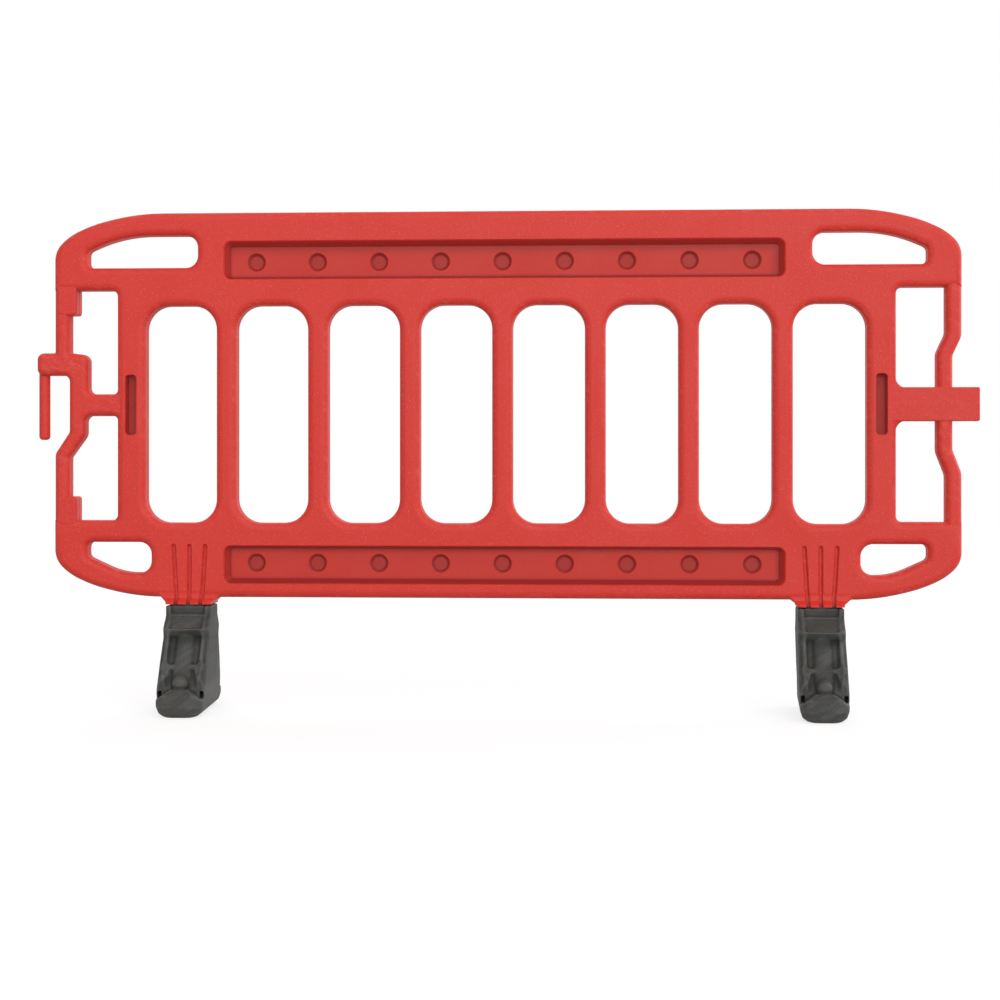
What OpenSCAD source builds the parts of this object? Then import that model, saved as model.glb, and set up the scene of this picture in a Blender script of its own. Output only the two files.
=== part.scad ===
// Pedestrian barrier panel: a blow-moulded panel on two swivelling feet.
// Millimetres. X runs along the panel, the front faces -Y, Z is up and the ground is at Z = 0.

/* [Panel] */
// Length of the panel body, without hook and eye
panel_length = 1958; // [1500:2:2400]
// Height of the panel body, from its bottom edge to its top edge
panel_height = 836; // [800:2:920]
// Depth of the panel from front to back
panel_depth = 56; // [54:1:70]
// Radius of the moulded edges
edge_round = 10; // [7:0.5:10.5]
// Distance from the panel's end to where its top edge would meet the drooping corner
corner_run = 138; // [136:1:160]
// Slope of the drooping corner
corner_slope = 23; // [20:0.5:23.5]
// Radius of the long sweep from the top edge into the drooping corner
sweep_radius = 470; // [300:5:480]
// Distance from the panel's end to the shoulder under the drooping corner
shoulder_run = 36; // [34:1:38]
// Slope of the shoulder
shoulder_slope = 50; // [46:1:54]
// Radius at both ends of the shoulder
shoulder_radius = 50; // [30:1:52]

/* [Slots] */
// Distance between slot centres
slot_pitch = 200; // [190:1:204]
// Clear width of a slot
slot_width = 155; // [120:1:158]
// Corner radius of a slot
slot_corner = 48; // [20:1:55]
// Height of the rail under the slots
bottom_rail = 162; // [150:1:180]
// Height of the rail over the slots
top_rail = 203; // [190:1:220]
// Least width of the stile outside the last slot
stile_width = 62; // [54:1:62]

/* [Board recesses] */
// Distance from the panel's end to the recessed band that takes a reflective board
band_inset = 374; // [360:2:400]
// Height of the recessed band at the face
band_height = 89; // [80:1:94]
// Depth of the recessed band
band_depth = 20; // [12:0.5:20]
// How far the band's walls lean in from rim to floor
band_taper = 12; // [4:0.5:13]
// Corner radius of the band's rim
band_corner = 16; // [14:0.5:20]
// Distance from the panel's top edge to the top band
top_band_edge = 55; // [48:1:62]
// Distance from the panel's bottom edge to the bottom band
bottom_band_edge = 27; // [22:1:34]
// Least distance from a band's end to the centre of its last pit
pit_end = 60; // [40:1:66]
// Distance between pit centres
pit_pitch = 134; // [100:1:138]
// Diameter of a pit at its rim
pit_rim_d = 39; // [33:0.5:50]
// Diameter of a pit at its floor
pit_floor_d = 29; // [20:0.5:32]
// Depth of a pit below the band's floor
pit_depth = 5; // [3:0.25:5.5]

/* [Grips] */
// Width of the panel's edge outside a grip
grip_frame = 50; // [44:0.5:56]
// Distance from the panel's end to a grip's outer end
grip_end = 73; // [66:0.5:80]
// Distance from the panel's end to a top grip's inner end
top_grip_run = 315; // [250:1:330]
// Distance from the panel's end to a bottom grip's inner end
bottom_grip_run = 213; // [208:1:220]
// Height of a grip
grip_height = 69; // [60:0.5:74]
// Radius of a grip's inner corners
grip_inner_round = 26; // [14:0.5:29]
// Radius of a grip's outer corners
grip_outer_round = 12; // [4:0.5:12]
// Slope of a grip's outer half
grip_slope = 24.5; // [20:0.5:26]
// Radius of a top grip's bend
top_grip_sweep = 300; // [150:5:305]
// Radius of a bottom grip's bend
bottom_grip_sweep = 150; // [50:5:150]

/* [End frames] */
// Distance from the panel's end to the stile, which an end frame spans
end_frame = 138.5; // [136:0.5:150]
// Distance from the panel's bottom edge to the end opening
bay_bottom = 167; // [155:1:180]
// Distance from the end opening to the panel's top edge
bay_top = 169; // [155:1:180]
// Corner radius of the end opening
bay_corner = 13; // [8:0.5:20]
// Width of an end post
post_width = 36; // [32:0.5:42]
// How far an end post stands in from the panel's end
post_inset = 0.5; // [0.5:0.5:3]
// Depth of the end frames from front to back
frame_depth = 50; // [40:1:52]
// Radius of the edges of the end frames
frame_round = 9; // [4:0.5:10]
// How much deeper a crossing member is than the one that it crosses
frame_step = 1; // [0.5:0.25:1.5]
// Bend radius of an end post's centreline
post_bend = 24; // [20:1:30]
// How far the hook's post steps inwards
hook_step = 31; // [24:0.5:34]
// How far the eye's post steps inwards
eye_step = 20; // [14:0.5:24]
// Height over which a post steps
step_rise = 48; // [44:1:56]
// Half height of the eye post's inner part
eye_post_half = 101; // [95:1:115]
// Length of the pads at both ends of the hook's post
pad_length = 53; // [40:1:60]
// How far the pads stand in from the post
pad_reach = 20; // [12:0.5:24]
// Height of the cross arm behind the hook
cross_arm_height = 48; // [44:1:56]
// How far a cross arm runs into the stile past its rounded edge
arm_root = 3; // [2:0.5:4]
// Width of the groove in a stile
stile_groove_width = 24; // [18:0.5:26]
// Length of the groove in a stile
stile_groove_length = 131; // [90:1:150]
// Depth of the groove in a stile
stile_groove_depth = 22; // [12:0.5:22]
// Corner radius of the groove in a stile
stile_groove_corner = 6; // [4:0.5:8]
// How far the groove's walls lean in from rim to floor
stile_groove_taper = 3; // [1:0.5:3.5]

/* [Link] */
// Diameter of the hook's prong
prong_d = 24; // [20:0.5:26]
// Distance from the panel's end to the prong's axis
prong_reach = 27; // [26:0.5:34]
// How far the hook's arm reaches past the prong
prong_margin = 1; // [0.5:0.25:3]
// Height of the collar under the arm that the prong grows from
prong_collar = 2; // [1:0.5:6]
// How far the hook's arm reaches past its post
arm_shoulder = 8; // [2:0.5:12]
// Height of the hook's arm
arm_height = 50; // [40:1:56]
// Distance from mid height of the panel to the underside of the arm
arm_rise = 64; // [58:1:72]
// Distance from mid height of the panel down to the prong's tip
prong_drop = 76; // [66:1:90]
// Bore of the eye
eye_d = 27; // [26.5:0.5:28]
// Distance from the panel's end to the eye's axis
eye_reach = 15; // [14:0.5:16]
// Height of the eye block
eye_height = 73; // [64:1:80]
// Corner radius of the eye block
eye_corner = 4; // [3.5:0.5:8]
// Radius of the edges of the eye block
eye_round = 3.5; // [2:0.5:3.5]

/* [Necks] */
// Distance from the panel's end to a foot's pivot
foot_inset = 299; // [294:1:306]
// Width of a neck where it meets its foot
neck_width = 100; // [92:1:106]
// Depth of a neck's lip from front to back
neck_depth = 84; // [74:1:88]
// How far a neck reaches below the panel's bottom edge
neck_drop = 14; // [12:0.5:18]
// How far a neck spreads on each side inside the panel
neck_spread = 18; // [14:0.5:20]
// How far a neck spreads on each side at the panel's bottom edge
neck_flare = 12.5; // [8:0.5:14]
// Height of a neck's lip
lip_height = 4.5; // [3:0.5:6]
// How far a lip leans out from the neck
lip_lean = 3; // [1:0.5:4]
// Corner radius of a neck seen from above
neck_corner = 8; // [5:0.5:10]
// Width of a flute over a neck
flute_width = 10; // [7:0.5:11]
// Depth of a flute
flute_depth = 7; // [4:0.5:9]
// How far a flute's walls lean in from rim to floor
flute_taper = 1.5; // [0.5:0.25:2]
// Height over the panel's bottom edge up to which a flute cuts the lip through
flute_notch = 7; // [6:0.5:10]
// Height of the flutes' top ends over the panel's bottom edge
flute_rise = 116; // [90:1:118]
// Distance between flutes at their top ends
flute_pitch_top = 35; // [32:0.5:37]
// Distance between flutes at the lip
flute_pitch_lip = 27; // [24:0.5:30]

/* [Feet] */
// Height of a foot
foot_height = 230; // [215:1:245]
// Length of a foot from toe to toe
foot_length = 300; // [280:2:380]
// Width of a foot at its top
foot_top_width = 98; // [92:1:102]
// Width of a foot at its toes
foot_toe_width = 108; // [104:1:120]
// Depth of a foot's top block from front to back
foot_top_depth = 90; // [86:1:96]
// Corner radius of a foot's top seen from above
foot_corner = 8; // [6:0.5:12]
// Height of the upright band round a foot's top
foot_band = 22; // [16:1:28]
// Height of the lower edge of the plate under that band
plate_height = 178; // [172:1:186]
// Length of a foot at the lower edge of that plate
plate_length = 142; // [130:1:144]
// Height of a toe
toe_height = 66; // [56:1:72]
// Length of a foot at the top of its toes
toe_top_length = 256; // [240:2:270]
// Corner radius of a toe's top seen from above
toe_top_corner = 18; // [12:0.5:24]
// Corner radius of a toe seen from above
toe_corner = 34; // [28:0.5:40]
// Height of a toe's nose
nose_height = 46; // [40:1:50]
// How far a toe leans back from its foremost point to its nose
nose_lean = 5; // [2:0.5:8]
// How far a toe draws in from its foremost point to the ground
sole_lean = 6; // [2:0.5:8]
// Height of the shoulder where a foot's slope begins
shoulder_height = 160; // [150:1:168]
// Length of a foot at its shoulder
shoulder_length = 146; // [144:1:170]
// Width of a foot at its shoulder
shoulder_width = 100; // [96:1:104]
// Width of the pocket in a foot's slope
pocket_width = 72; // [66:1:80]
// Depth of the pocket in a foot's slope
pocket_depth = 13; // [8:0.5:16]
// Wall left over and under the pocket
pocket_margin = 6; // [4:0.5:10]
// Radius of the half-round spine in the pocket
spine_r = 20; // [16:0.5:22]

/* [Pivot] */
// Outer diameter of the pivot sleeve
sleeve_d = 30; // [26:0.5:34]
// Thread diameter of the pivot bolt
bolt_d = 16; // [12:0.5:18]
// Width across the flats of the bolt's head
bolt_flats = 24; // [22:0.5:28]
// Height of the bolt's head
bolt_head = 10; // [8:0.5:12]
// Diameter of the washer under the bolt's head
head_washer_d = 50; // [40:1:56]
// Thickness of the washer under the bolt's head
head_washer_t = 4; // [2.5:0.5:6]
// Height of the shoulder in the foot that the head washer holds
pivot_shoulder = 150; // [130:1:160]
// Diameter of the access hole under the pivot
access_d = 60; // [58:1:66]
// Diameter of the thrust washer
thrust_d = 76; // [60:1:84]
// Thickness of the thrust washer
thrust_t = 3; // [2:0.25:5]
// Diameter of the threaded insert
insert_d = 28; // [24:0.5:32]
// Length of the threaded insert
insert_length = 50; // [40:1:60]
// Distance from the bolt's end to the top of the insert
bolt_end_gap = 5; // [2:0.5:10]

/* [Fits] */
// Radial running fit of a foot on its sleeve
running_fit = 0.05; // [0.02:0.01:0.09]
// Radial clearance of fixed pieces in their holes
seat_fit = 0.05; // [0.02:0.01:0.09]
// Free play of a foot along its pivot
end_play = 0.5; // [0.2:0.1:0.9]
// Largest distance between a drawn arc and its chords
arc_tolerance = 0.85; // [0.7:0.05:1.2]

/* [Hidden] */

$fn = 48;
// How far cuts reach past the surfaces that they open, and the least corner radius of a cut
over = 0.5;
cut_corner = 1;

// Heights
neck_z = foot_height + thrust_t;
bottom_z = neck_z + neck_drop;
top_z = bottom_z + panel_height;
mid_z = bottom_z + panel_height / 2;
band_bottoms = [bottom_z + bottom_band_edge, top_z - top_band_edge - band_height];

// Places along the panel, and how many slots and pits fit there
end_x = panel_length / 2;
stile_x = end_x - end_frame;
slot_count = 1 + floor((2 * (stile_x - stile_width) - slot_width) / slot_pitch);
slots_x = (slot_count - 1) * slot_pitch / 2 + slot_width / 2;
band_length = panel_length - 2 * band_inset;
pit_count = 1 + floor((band_length - 2 * pit_end) / pit_pitch);
foot_x = end_x - foot_inset;
hook_x = -end_x - prong_reach;
eye_x = end_x + eye_reach;
reach_x = end_x + prong_reach + prong_d / 2 + prong_margin;
post_x = end_x - post_width / 2 - post_inset;

// Pivot stack, from the neck down
insert_top_z = neck_z + insert_length;
sleeve_foot_z = pivot_shoulder - end_play;
head_top_z = sleeve_foot_z - head_washer_t;
bolt_fit_d = bolt_d + 2 * seat_fit;

panel_red = "#d54b44";
foot_grey = "#4b4a48";

function unit(v) = v / norm(v);
function right_of(d) = [d[1], -d[0]];
function turned(v, a) = [v[0] * cos(a) - v[1] * sin(a), v[0] * sin(a) + v[1] * cos(a)];
function flat(p) = [p[0], p[1]];
function arc_steps(r, turn) =
    r < 2 * arc_tolerance ? 1 : max(1, ceil(abs(turn) / (2 * acos(1 - arc_tolerance / r))));

// The arc at the corner p, between the corners a and b, as [point, outward direction] pairs.
// A corner is [x, z, radius]. Growing the shape by grow keeps the arc's centre.
function corner_arc(a, p, b, grow) =
    let (
        u = unit(flat(p) - flat(a)),
        v = unit(flat(b) - flat(p)),
        n = right_of(u),
        m = right_of(v),
        turn = atan2(u[0] * v[1] - u[1] * v[0], u * v),
        r = p[2] * sign(turn),
        centre = flat(p) - (n + m) * r / (1 + n * m),
        steps = arc_steps(p[2], turn)
    )
    [for (k = [0:steps]) let (d = turned(n, turn * k / steps)) [centre + (r + grow) * d, d]];

// A closed outline from corners that run anticlockwise
function outline(corners, grow = 0) =
    let (n = len(corners))
    [
        for (i = [0:n - 1])
        for (q = corner_arc(corners[(i + n - 1) % n], corners[i], corners[(i + 1) % n], grow))
        q[0]
    ];

function rectangle(x0, x1, z0, z1, r) = [[x0, z0, r], [x1, z0, r], [x1, z1, r], [x0, z1, r]];

// Outlines set upright at a depth y, or level at a height z
function upright(corners, grow, y) = [for (p = outline(corners, grow)) [p[0], y, p[1]]];
function level(corners, z) = [for (p = outline(corners)) [p[0], p[1], z]];

// Steps round an edge: [depth below the face, distance in from the widest outline]
function edge_profile(r) =
    let (steps = arc_steps(r, 90))
    [for (k = [0:steps]) let (a = 90 * k / steps) [r * (1 - cos(a)), r * (1 - sin(a))]];

// A closed solid through rings of equal point count, each anticlockwise seen from the first ring's side
module skin(rings) {
    n = len(rings[0]);
    last = len(rings) - 1;
    polyhedron(
        points = [for (ring = rings) each ring],
        faces = [
            [for (i = [n - 1:-1:0]) i],
            for (k = [0:last - 1]) for (i = [0:n - 1])
                [k * n + i, k * n + (i + 1) % n, (k + 1) * n + (i + 1) % n, (k + 1) * n + i],
            [for (i = [0:n - 1]) last * n + i],
        ]
    );
}

// An upright plate with rounded edges
module rounded_plate(corners, depth, r) {
    e = edge_profile(r);
    skin(concat(
        [for (s = e) upright(corners, -s[1], -depth / 2 + s[0])],
        [for (k = [len(e) - 1:-1:0]) upright(corners, -e[k][1], depth / 2 - e[k][0])]
    ));
}

// What is taken out of the panel for an opening with rounded mouths on both faces
module through_mouth(corners) {
    e = edge_profile(edge_round);
    lead = edge_round + over * (e[0][1] - e[1][1]) / (e[1][0] - e[0][0]);
    half = panel_depth / 2;
    skin(concat(
        [upright(corners, lead, -half - over)],
        [for (k = [1:len(e) - 1]) upright(corners, e[k][1], -half + e[k][0])],
        [for (k = [len(e) - 1:-1:1]) upright(corners, e[k][1], half - e[k][0])],
        [upright(corners, lead, half + over)]
    ));
}

// What is taken out of one face for a recess with leaning walls
module face_recess(corners, depth, taper) {
    half = panel_depth / 2;
    skin([
        upright(corners, over * taper / depth, -half - over),
        upright(corners, -taper, -half + depth),
    ]);
}

module both_faces() {
    for (side = [0, 1]) mirror([0, side, 0]) children();
}

module both_ends() {
    for (side = [0, 1]) mirror([side, 0, 0]) children();
}

// A bar with rounded edges along a bent centreline in the plane of the panel
module bent_bar(centreline, width, depth, r) {
    last = len(centreline) - 1;
    first_way = right_of(unit(flat(centreline[1]) - flat(centreline[0])));
    last_way = right_of(unit(flat(centreline[last]) - flat(centreline[last - 1])));
    stations = concat(
        [[flat(centreline[0]), first_way]],
        [for (i = [1:last - 1]) each corner_arc(centreline[i - 1], centreline[i], centreline[i + 1], 0)],
        [[flat(centreline[last]), last_way]]
    );
    section = outline(rectangle(-width / 2, width / 2, -depth / 2, depth / 2, r));
    skin([for (s = stations) [for (p = section) let (c = s[0] - s[1] * p[0]) [c[0], p[1], c[1]]]]);
}

// Panel: outer shape

function panel_corners() =
    let (
        sweep_x = end_x - corner_run,
        shoulder_x = end_x - shoulder_run,
        droop = (corner_run - shoulder_run) * tan(corner_slope),
        drop = droop + shoulder_run * tan(shoulder_slope),
        rising = [
            [sweep_x, bottom_z, sweep_radius],
            [shoulder_x, bottom_z + droop, shoulder_radius],
            [end_x, bottom_z + drop, shoulder_radius],
            [end_x, top_z - drop, shoulder_radius],
            [shoulder_x, top_z - droop, shoulder_radius],
            [sweep_x, top_z, sweep_radius],
        ]
    )
    concat(rising, [for (i = [len(rising) - 1:-1:0]) [-rising[i][0], rising[i][1], rising[i][2]]]);

module slots() {
    for (i = [0:slot_count - 1]) {
        x = (i - (slot_count - 1) / 2) * slot_pitch;
        through_mouth(rectangle(
            x - slot_width / 2, x + slot_width / 2,
            bottom_z + bottom_rail, top_z - top_rail, slot_corner
        ));
    }
}

// A grip at the right-hand top corner, whose upper edge follows the panel's sweep
function grip_corners(run, sweep) =
    let (
        bend_x = end_x - corner_run - grip_frame * tan(corner_slope / 2),
        roof = top_z - grip_frame,
        outer_x = end_x - grip_end,
        outer_top = roof - (outer_x - bend_x) * tan(grip_slope)
    )
    [
        [end_x - run, roof - grip_height, grip_inner_round],
        [outer_x, roof - grip_height, grip_outer_round],
        [outer_x, outer_top, grip_outer_round],
        [bend_x, roof, sweep],
        [end_x - run, roof, grip_inner_round],
    ];

module upside_down() {
    translate([0, 0, 2 * mid_z]) mirror([0, 0, 1]) children();
}

module grips() {
    both_ends() {
        through_mouth(grip_corners(top_grip_run, top_grip_sweep));
        upside_down() through_mouth(grip_corners(bottom_grip_run, bottom_grip_sweep));
    }
}

module end_bays() {
    both_ends() through_mouth(rectangle(
        stile_x, end_x + panel_depth, bottom_z + bay_bottom, top_z - bay_top, bay_corner
    ));
}

module board_recesses() {
    for (z = band_bottoms) both_faces() face_recess(
        rectangle(-band_length / 2, band_length / 2, z, z + band_height, band_corner),
        band_depth, band_taper
    );
}

module pits() {
    floor_y = band_depth - panel_depth / 2;
    both_faces() for (z = band_bottoms) for (i = [0:pit_count - 1])
        translate([(i - (pit_count - 1) / 2) * pit_pitch, floor_y, z + band_height / 2]) pit();
}

// A round pit whose rim lies at the origin and whose floor is behind it
module pit() {
    lean = (pit_rim_d - pit_floor_d) / 2 / pit_depth;
    rotate([90, 0, 0]) translate([0, 0, -pit_depth])
        cylinder(h = pit_depth + over, r1 = pit_floor_d / 2, r2 = pit_rim_d / 2 + over * lean);
}

module stile_grooves() {
    x = (slots_x + stile_x) / 2;
    both_ends() both_faces() face_recess(
        rectangle(
            x - stile_groove_width / 2, x + stile_groove_width / 2,
            mid_z - stile_groove_length / 2, mid_z + stile_groove_length / 2, stile_groove_corner
        ),
        stile_groove_depth, stile_groove_taper
    );
}

// Panel: end frames with the hook and the eye

module hook_frame() {
    plate_corner = frame_round + cut_corner;
    inner_x = post_x - hook_step;
    arm_z = mid_z + arm_rise;
    low_z = mid_z - arm_rise;
    bent_bar([
        [-post_x, top_z - bay_top + post_width],
        [-post_x, arm_z + arm_height, post_bend],
        [-inner_x, arm_z, post_bend],
        [-inner_x, low_z, post_bend],
        [-post_x, low_z - step_rise, post_bend],
        [-post_x, bottom_z + bay_bottom - post_width],
    ], post_width, frame_depth, frame_round);
    for (z = [top_z - bay_top - pad_length / 2, bottom_z + bay_bottom + pad_length / 2])
        rounded_plate(rectangle(
            -post_x - post_width / 4, -post_x + post_width / 2 + pad_reach,
            z - pad_length / 2 - frame_round, z + pad_length / 2 + frame_round, plate_corner
        ), frame_depth - 2 * frame_step, frame_round);
    rounded_plate(rectangle(
        -reach_x, -inner_x + post_width / 2 + arm_shoulder, arm_z, arm_z + arm_height, plate_corner
    ), frame_depth + 2 * frame_step, frame_round);
    rounded_plate(rectangle(
        -inner_x, -stile_x + edge_round + arm_root,
        mid_z - cross_arm_height / 2, mid_z + cross_arm_height / 2, plate_corner
    ), frame_depth + frame_step, frame_round);
}

// The round prong with a ball end, and the square collar that it grows from
module prong() {
    tip_z = mid_z - prong_drop + prong_d / 2;
    collar_z = mid_z + arm_rise - prong_collar;
    collar = prong_d + 2 * prong_margin;
    translate([hook_x, 0, tip_z]) {
        cylinder(h = collar_z - tip_z + over, r = prong_d / 2);
        sphere(r = prong_d / 2);
    }
    translate([hook_x - collar / 2, -collar / 2, collar_z])
        cube([collar, collar, prong_collar + arm_height / 2]);
}

module eye_frame() {
    inner_x = post_x - eye_step;
    bent_bar([
        [post_x, bottom_z + bay_bottom - post_width],
        [post_x, mid_z - eye_post_half - step_rise, post_bend],
        [inner_x, mid_z - eye_post_half, post_bend],
        [inner_x, mid_z + eye_post_half, post_bend],
        [post_x, mid_z + eye_post_half + step_rise, post_bend],
        [post_x, top_z - bay_top + post_width],
    ], post_width, frame_depth, frame_round);
    rounded_plate(rectangle(
        stile_x - edge_round - arm_root, reach_x, mid_z - eye_height / 2, mid_z + eye_height / 2, eye_corner
    ), frame_depth + 2 * frame_step, eye_round);
}

module eye_bore() {
    translate([eye_x, 0, mid_z - eye_height]) cylinder(h = 2 * eye_height, r = eye_d / 2);
}

// Panel: necks over the feet

function neck_level(width, depth, z) =
    level(rectangle(foot_x - width / 2, foot_x + width / 2, -depth / 2, depth / 2, neck_corner), z);

module necks() {
    both_ends() skin([
        neck_level(neck_width + 2 * neck_spread, panel_depth - 4 * frame_step, bottom_z + neck_drop),
        neck_level(neck_width + 2 * neck_flare, panel_depth - 2 * frame_step, bottom_z),
        neck_level(neck_width + lip_lean, neck_depth - 2 * lip_lean, neck_z + lip_height),
        neck_level(neck_width, neck_depth, neck_z),
    ]);
}

module flutes() {
    both_ends() both_faces() for (side = [-1, 0, 1]) {
        lip_x = foot_x + side * flute_pitch_lip;
        top_x = foot_x + side * flute_pitch_top;
        half = flute_width / 2;
        face_recess([
            [lip_x - half, neck_z, cut_corner],
            [lip_x + half, neck_z, cut_corner],
            [top_x + half, bottom_z + flute_rise, half - cut_corner],
            [top_x - half, bottom_z + flute_rise, half - cut_corner],
        ], flute_depth, flute_taper);
        translate([lip_x - half, -neck_depth, neck_z - neck_drop])
            cube([flute_width, neck_depth - panel_depth / 2 + flute_depth, 2 * neck_drop + flute_notch]);
    }
}

module insert_pockets() {
    both_ends() translate([foot_x, 0, neck_z - neck_drop])
        cylinder(h = neck_drop + insert_length, r = insert_d / 2 + seat_fit);
}

// The moulding at its full size from lip to lip, with the necks' lips as its deepest part
module moulding() {
    resize([0, neck_depth, 0]) difference() {
        union() {
            difference() {
                rounded_plate(panel_corners(), panel_depth, edge_round);
                slots();
                grips();
                end_bays();
                board_recesses();
                stile_grooves();
            }
            hook_frame();
            eye_frame();
            necks();
        }
        flutes();
    }
}

module panel() {
    color(panel_red) difference() {
        union() {
            moulding();
            prong();
        }
        eye_bore();
        insert_pockets();
        pits();
    }
}

// Feet

// A level outline with corner radius r, always with as many points as the toe's
function foot_level(width, length, z, r) =
    let (grow = r - toe_corner, x = width / 2 - grow, y = length / 2 - grow)
    [for (p = outline(rectangle(-x, x, -y, y, toe_corner), grow)) [p[0], p[1], z]];

module foot_block() {
    skin([
        foot_level(foot_top_width, foot_top_depth, foot_height, foot_corner),
        foot_level(foot_top_width, foot_top_depth, foot_height - foot_band, foot_corner),
        foot_level(shoulder_width, plate_length, plate_height, foot_corner),
        foot_level(shoulder_width, shoulder_length, shoulder_height, foot_corner),
        foot_level(foot_toe_width - cut_corner, toe_top_length, toe_height, toe_top_corner),
        foot_level(foot_toe_width, foot_length - 2 * nose_lean, nose_height, toe_corner - nose_lean),
        foot_level(foot_toe_width, foot_length, nose_height / 2, toe_corner),
        foot_level(foot_toe_width - 2 * sole_lean, foot_length - 2 * sole_lean, 0, toe_corner - sole_lean),
    ]);
}

// What is taken out of a foot's slope: a pocket round a half-round spine with a ball end
module foot_pocket() {
    run = (toe_top_length - shoulder_length) / 2;
    fall = shoulder_height - toe_height;
    slope = atan2(fall, run);
    slope_length = norm([run, fall]);
    spine_length = slope_length - pocket_margin - 1.5 * spine_r;
    translate([0, -shoulder_length / 2, shoulder_height]) rotate([slope - 180, 0, 0]) {
        difference() {
            translate([-pocket_width / 2, pocket_margin, -3 * pocket_depth])
                cube([pocket_width, slope_length - 2 * pocket_margin, 4 * pocket_depth]);
            translate([0, 0, spine_r]) rotate([-90, 0, 0]) {
                cylinder(h = spine_length, r = spine_r);
                translate([0, 0, spine_length]) sphere(r = spine_r);
            }
        }
    }
}

module foot() {
    color(foot_grey) difference() {
        foot_block();
        both_faces() foot_pocket();
        translate([0, 0, pivot_shoulder - over]) cylinder(h = foot_height, r = sleeve_d / 2 + running_fit);
        translate([0, 0, -over]) cylinder(h = pivot_shoulder + over, r = access_d / 2);
    }
}

// Pivot pieces, each on the Z axis at its working height

module thrust_washer() {
    color("#d8d4c8") translate([0, 0, foot_height]) difference() {
        cylinder(h = thrust_t, r = thrust_d / 2);
        translate([0, 0, -over]) cylinder(h = thrust_t + 2 * over, r = sleeve_d / 2 + seat_fit);
    }
}

module pivot_sleeve() {
    color("silver") translate([0, 0, sleeve_foot_z]) difference() {
        cylinder(h = neck_z - sleeve_foot_z, r = sleeve_d / 2);
        translate([0, 0, -over]) cylinder(h = neck_z - sleeve_foot_z + 2 * over, r = bolt_fit_d / 2);
    }
}

module pivot_bolt() {
    color("silver") {
        translate([0, 0, head_top_z - bolt_head])
            cylinder(h = bolt_head, r = bolt_flats / 2 / cos(30), $fn = 6);
        translate([0, 0, head_top_z - over])
            cylinder(h = insert_top_z - bolt_end_gap - head_top_z + over, r = bolt_d / 2);
    }
}

module head_washer() {
    color("silver") translate([0, 0, head_top_z]) difference() {
        cylinder(h = head_washer_t, r = head_washer_d / 2);
        translate([0, 0, -over]) cylinder(h = head_washer_t + 2 * over, r = bolt_fit_d / 2);
    }
}

module threaded_insert() {
    color("goldenrod") translate([0, 0, neck_z]) difference() {
        cylinder(h = insert_length, r = insert_d / 2);
        translate([0, 0, -over]) cylinder(h = insert_length + 2 * over, r = bolt_fit_d / 2);
    }
}

module at_foot(side) {
    translate([side * foot_x, 0, 0]) children();
}

module left_foot() { at_foot(-1) foot(); }
module right_foot() { at_foot(1) foot(); }
module left_thrust_washer() { at_foot(-1) thrust_washer(); }
module right_thrust_washer() { at_foot(1) thrust_washer(); }
module left_pivot_sleeve() { at_foot(-1) pivot_sleeve(); }
module right_pivot_sleeve() { at_foot(1) pivot_sleeve(); }
module left_pivot_bolt() { at_foot(-1) pivot_bolt(); }
module right_pivot_bolt() { at_foot(1) pivot_bolt(); }
module left_head_washer() { at_foot(-1) head_washer(); }
module right_head_washer() { at_foot(1) head_washer(); }
module left_threaded_insert() { at_foot(-1) threaded_insert(); }
module right_threaded_insert() { at_foot(1) threaded_insert(); }

panel();
left_foot();
right_foot();
left_thrust_washer();
right_thrust_washer();
left_pivot_sleeve();
right_pivot_sleeve();
left_pivot_bolt();
right_pivot_bolt();
left_head_washer();
right_head_washer();
left_threaded_insert();
right_threaded_insert();
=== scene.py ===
# %% [markdown]
# # A pedestrian barrier panel
# The real object is one red panel, blow-moulded in one piece and about two metres long. It stands on two
# heavy grey feet, and each foot turns on a bolt under the panel, so that panels stack flat. The packed
# model gives every place and size and is never moved. This lesson dresses it.

# %% Load the frame
from math import atan2, ceil, cos, pi, radians, sin, tan

import bmesh
import bpy
from mathutils import Matrix, Vector


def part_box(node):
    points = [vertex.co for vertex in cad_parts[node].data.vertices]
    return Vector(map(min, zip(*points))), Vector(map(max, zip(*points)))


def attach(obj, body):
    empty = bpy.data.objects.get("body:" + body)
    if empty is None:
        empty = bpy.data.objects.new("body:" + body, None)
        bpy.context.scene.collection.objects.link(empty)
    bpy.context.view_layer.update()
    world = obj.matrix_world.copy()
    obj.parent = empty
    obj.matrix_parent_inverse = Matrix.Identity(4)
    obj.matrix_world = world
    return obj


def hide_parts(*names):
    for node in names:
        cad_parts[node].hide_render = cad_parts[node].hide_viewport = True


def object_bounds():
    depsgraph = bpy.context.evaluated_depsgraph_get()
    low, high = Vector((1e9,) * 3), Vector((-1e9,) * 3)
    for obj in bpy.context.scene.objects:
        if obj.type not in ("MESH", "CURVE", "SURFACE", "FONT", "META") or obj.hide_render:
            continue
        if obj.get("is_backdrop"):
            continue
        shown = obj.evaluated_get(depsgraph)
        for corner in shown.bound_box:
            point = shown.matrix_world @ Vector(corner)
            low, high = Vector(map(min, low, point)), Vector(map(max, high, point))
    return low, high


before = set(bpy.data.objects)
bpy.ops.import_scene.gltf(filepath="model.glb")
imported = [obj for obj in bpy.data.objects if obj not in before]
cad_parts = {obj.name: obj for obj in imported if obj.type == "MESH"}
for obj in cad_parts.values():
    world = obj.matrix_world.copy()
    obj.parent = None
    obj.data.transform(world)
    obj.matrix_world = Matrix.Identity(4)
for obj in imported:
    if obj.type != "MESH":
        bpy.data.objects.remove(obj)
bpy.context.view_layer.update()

# %% [markdown]
# ## Places that the frame gives
# Drawings of mouldings are in millimetres, so outlines are written that way here and scaled once, when a
# mesh is made. The ends of the panel, its neck and its feet are read from the frame.

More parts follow.
